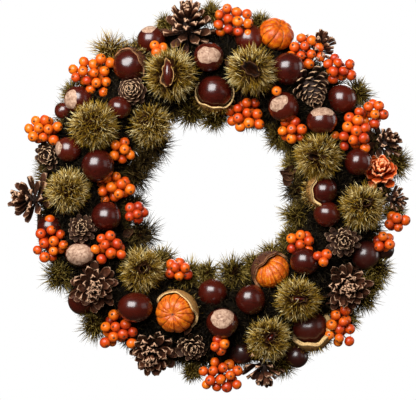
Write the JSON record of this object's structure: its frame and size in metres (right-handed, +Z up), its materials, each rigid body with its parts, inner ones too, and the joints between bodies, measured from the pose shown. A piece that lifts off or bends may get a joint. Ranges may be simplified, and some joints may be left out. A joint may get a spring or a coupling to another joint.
{
  "type": "harvest door wreath",
  "caption": "Round autumn door wreath: a mossy straw ring set with conkers, chestnut burrs, pine cones, small pumpkins and orange berries, hung on a pivoting wire loop.",
  "frame": {"origin": "the point inside the top of the hanging loop that rests on a hook, nail or ribbon", "axes": "+Z up, -Y out of the door through the wreath's front, +X to the right as seen from the front"},
  "size_m": [0.3961, 0.0841, 0.3851],
  "materials": {
    "straw": "dry bundled straw",
    "moss": "matte dried moss",
    "needles": "matte dried needles",
    "wire": "dull drawn wire",
    "burr": "dry spines",
    "cone": "dry woody scales",
    "dyed_cone": "dyed woody scales",
    "pumpkin": "waxy ribbed skin",
    "conker": "polished nut with a pale matte scar",
    "husk": "dry split husk",
    "berry": "shiny berry skin on dry stalks"
  },
  "bodies": {
    "loop": {"hanging_loop": "wire"},
    "wreath": {"base_ring": "straw", "moss_blanket": "moss", "inner_greenery": "needles", "outer_greenery": "needles", "wire_hoop": "wire", "hanging_eye_left": "wire", "hanging_eye_right": "wire", "burr_1": "burr", "burr_2": "burr", "burr_3": "burr", "burr_4": "burr", "burr_5": "burr", "burr_6": "burr", "burr_7": "burr", "burr_8": "burr", "burr_9": "burr", "burr_10": "burr", "pine_cone_1": "cone", "pine_cone_2": "cone", "pine_cone_3": "cone", "pine_cone_4": "cone", "pine_cone_5": "cone", "pine_cone_6": "cone", "pine_cone_7": "cone", "pine_cone_8": "cone", "pine_cone_9": "cone", "pine_cone_10": "cone", "dyed_cone": "dyed_cone", "mini_pumpkin_1": "pumpkin", "mini_pumpkin_2": "pumpkin", "mini_pumpkin_3": "pumpkin", "conker_1": "conker", "conker_2": "conker", "conker_3": "conker", "conker_4": "conker", "conker_5": "conker", "conker_6": "conker", "conker_7": "conker", "conker_8": "conker", "conker_9": "conker", "conker_10": "conker", "conker_11": "conker", "conker_12": "conker", "conker_13": "conker", "conker_14": "conker", "conker_15": "conker", "husk_1": "husk", "husk_2": "husk", "berry_sprig_1": "berry", "berry_sprig_2": "berry", "berry_sprig_3": "berry", "berry_sprig_4": "berry", "berry_sprig_5": "berry", "berry_sprig_6": "berry", "berry_sprig_7": "berry", "berry_sprig_8": "berry", "berry_sprig_9": "berry", "berry_sprig_10": "berry", "berry_sprig_11": "berry"}
  },
  "joints": [
    {"name": "loop_pivot", "type": "hinge", "parent": "loop", "child": "wreath", "pos_m": [0, 0, -0.016], "axis": [-1, 0, 0], "range_deg": [0, 60]}
  ]
}
